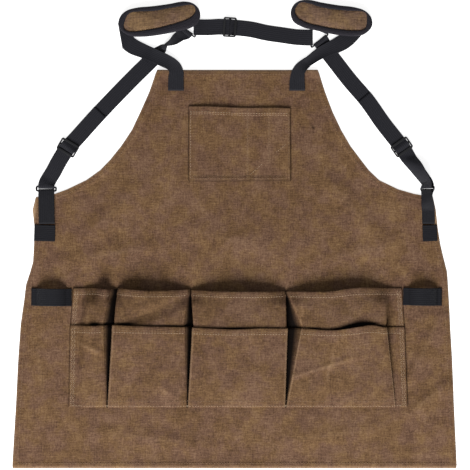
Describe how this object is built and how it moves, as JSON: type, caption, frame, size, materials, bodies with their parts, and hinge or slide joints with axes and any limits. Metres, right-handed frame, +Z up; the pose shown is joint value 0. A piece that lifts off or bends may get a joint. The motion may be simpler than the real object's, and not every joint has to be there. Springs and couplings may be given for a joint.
{
  "type": "gardening apron",
  "caption": "Cross-back gardening apron lying flat: waxed canvas panel with bib pocket, two tiers of waist pockets, hammer loops, and a webbing harness with pads, rings and sliders",
  "frame": {"origin": "centre of the bounding box on the surface that the apron lies on", "axes": "+X to the right of the front as seen from above, +Y from the hem to the neck, +Z up from the surface through the front"},
  "size_m": [0.7, 0.7372, 0.0261],
  "materials": {
    "canvas": "waxed cotton canvas, mid brown, matt with rubbed lighter creases",
    "pad_canvas": "waxed cotton canvas over padding",
    "webbing": "woven black webbing, matt",
    "binding": "black ribbed binding tape",
    "slider_plastic": "moulded black plastic, satin",
    "ring_wire": "dark nickel wire, glossy"
  },
  "bodies": {
    "root": {"body_panel": "canvas", "bib_pocket": "canvas", "upper_pocket_strip": "canvas", "lower_pocket_strip": "canvas", "back_strap": "webbing", "back_slider": "slider_plastic", "hammer_loop_left": "webbing", "side_tab_left": "webbing", "side_patch_left": "webbing", "side_ring_left": "ring_wire", "side_strap_left": "webbing", "side_slider_left": "slider_plastic", "bib_strap_left": "webbing", "shoulder_pad_left": "pad_canvas", "pad_binding_left": "binding", "back_ring_left": "ring_wire", "hammer_loop_right": "webbing", "side_tab_right": "webbing", "side_patch_right": "webbing", "side_ring_right": "ring_wire", "side_strap_right": "webbing", "side_slider_right": "slider_plastic", "bib_strap_right": "webbing", "shoulder_pad_right": "pad_canvas", "pad_binding_right": "binding", "back_ring_right": "ring_wire"}
  },
  "joints": []
}
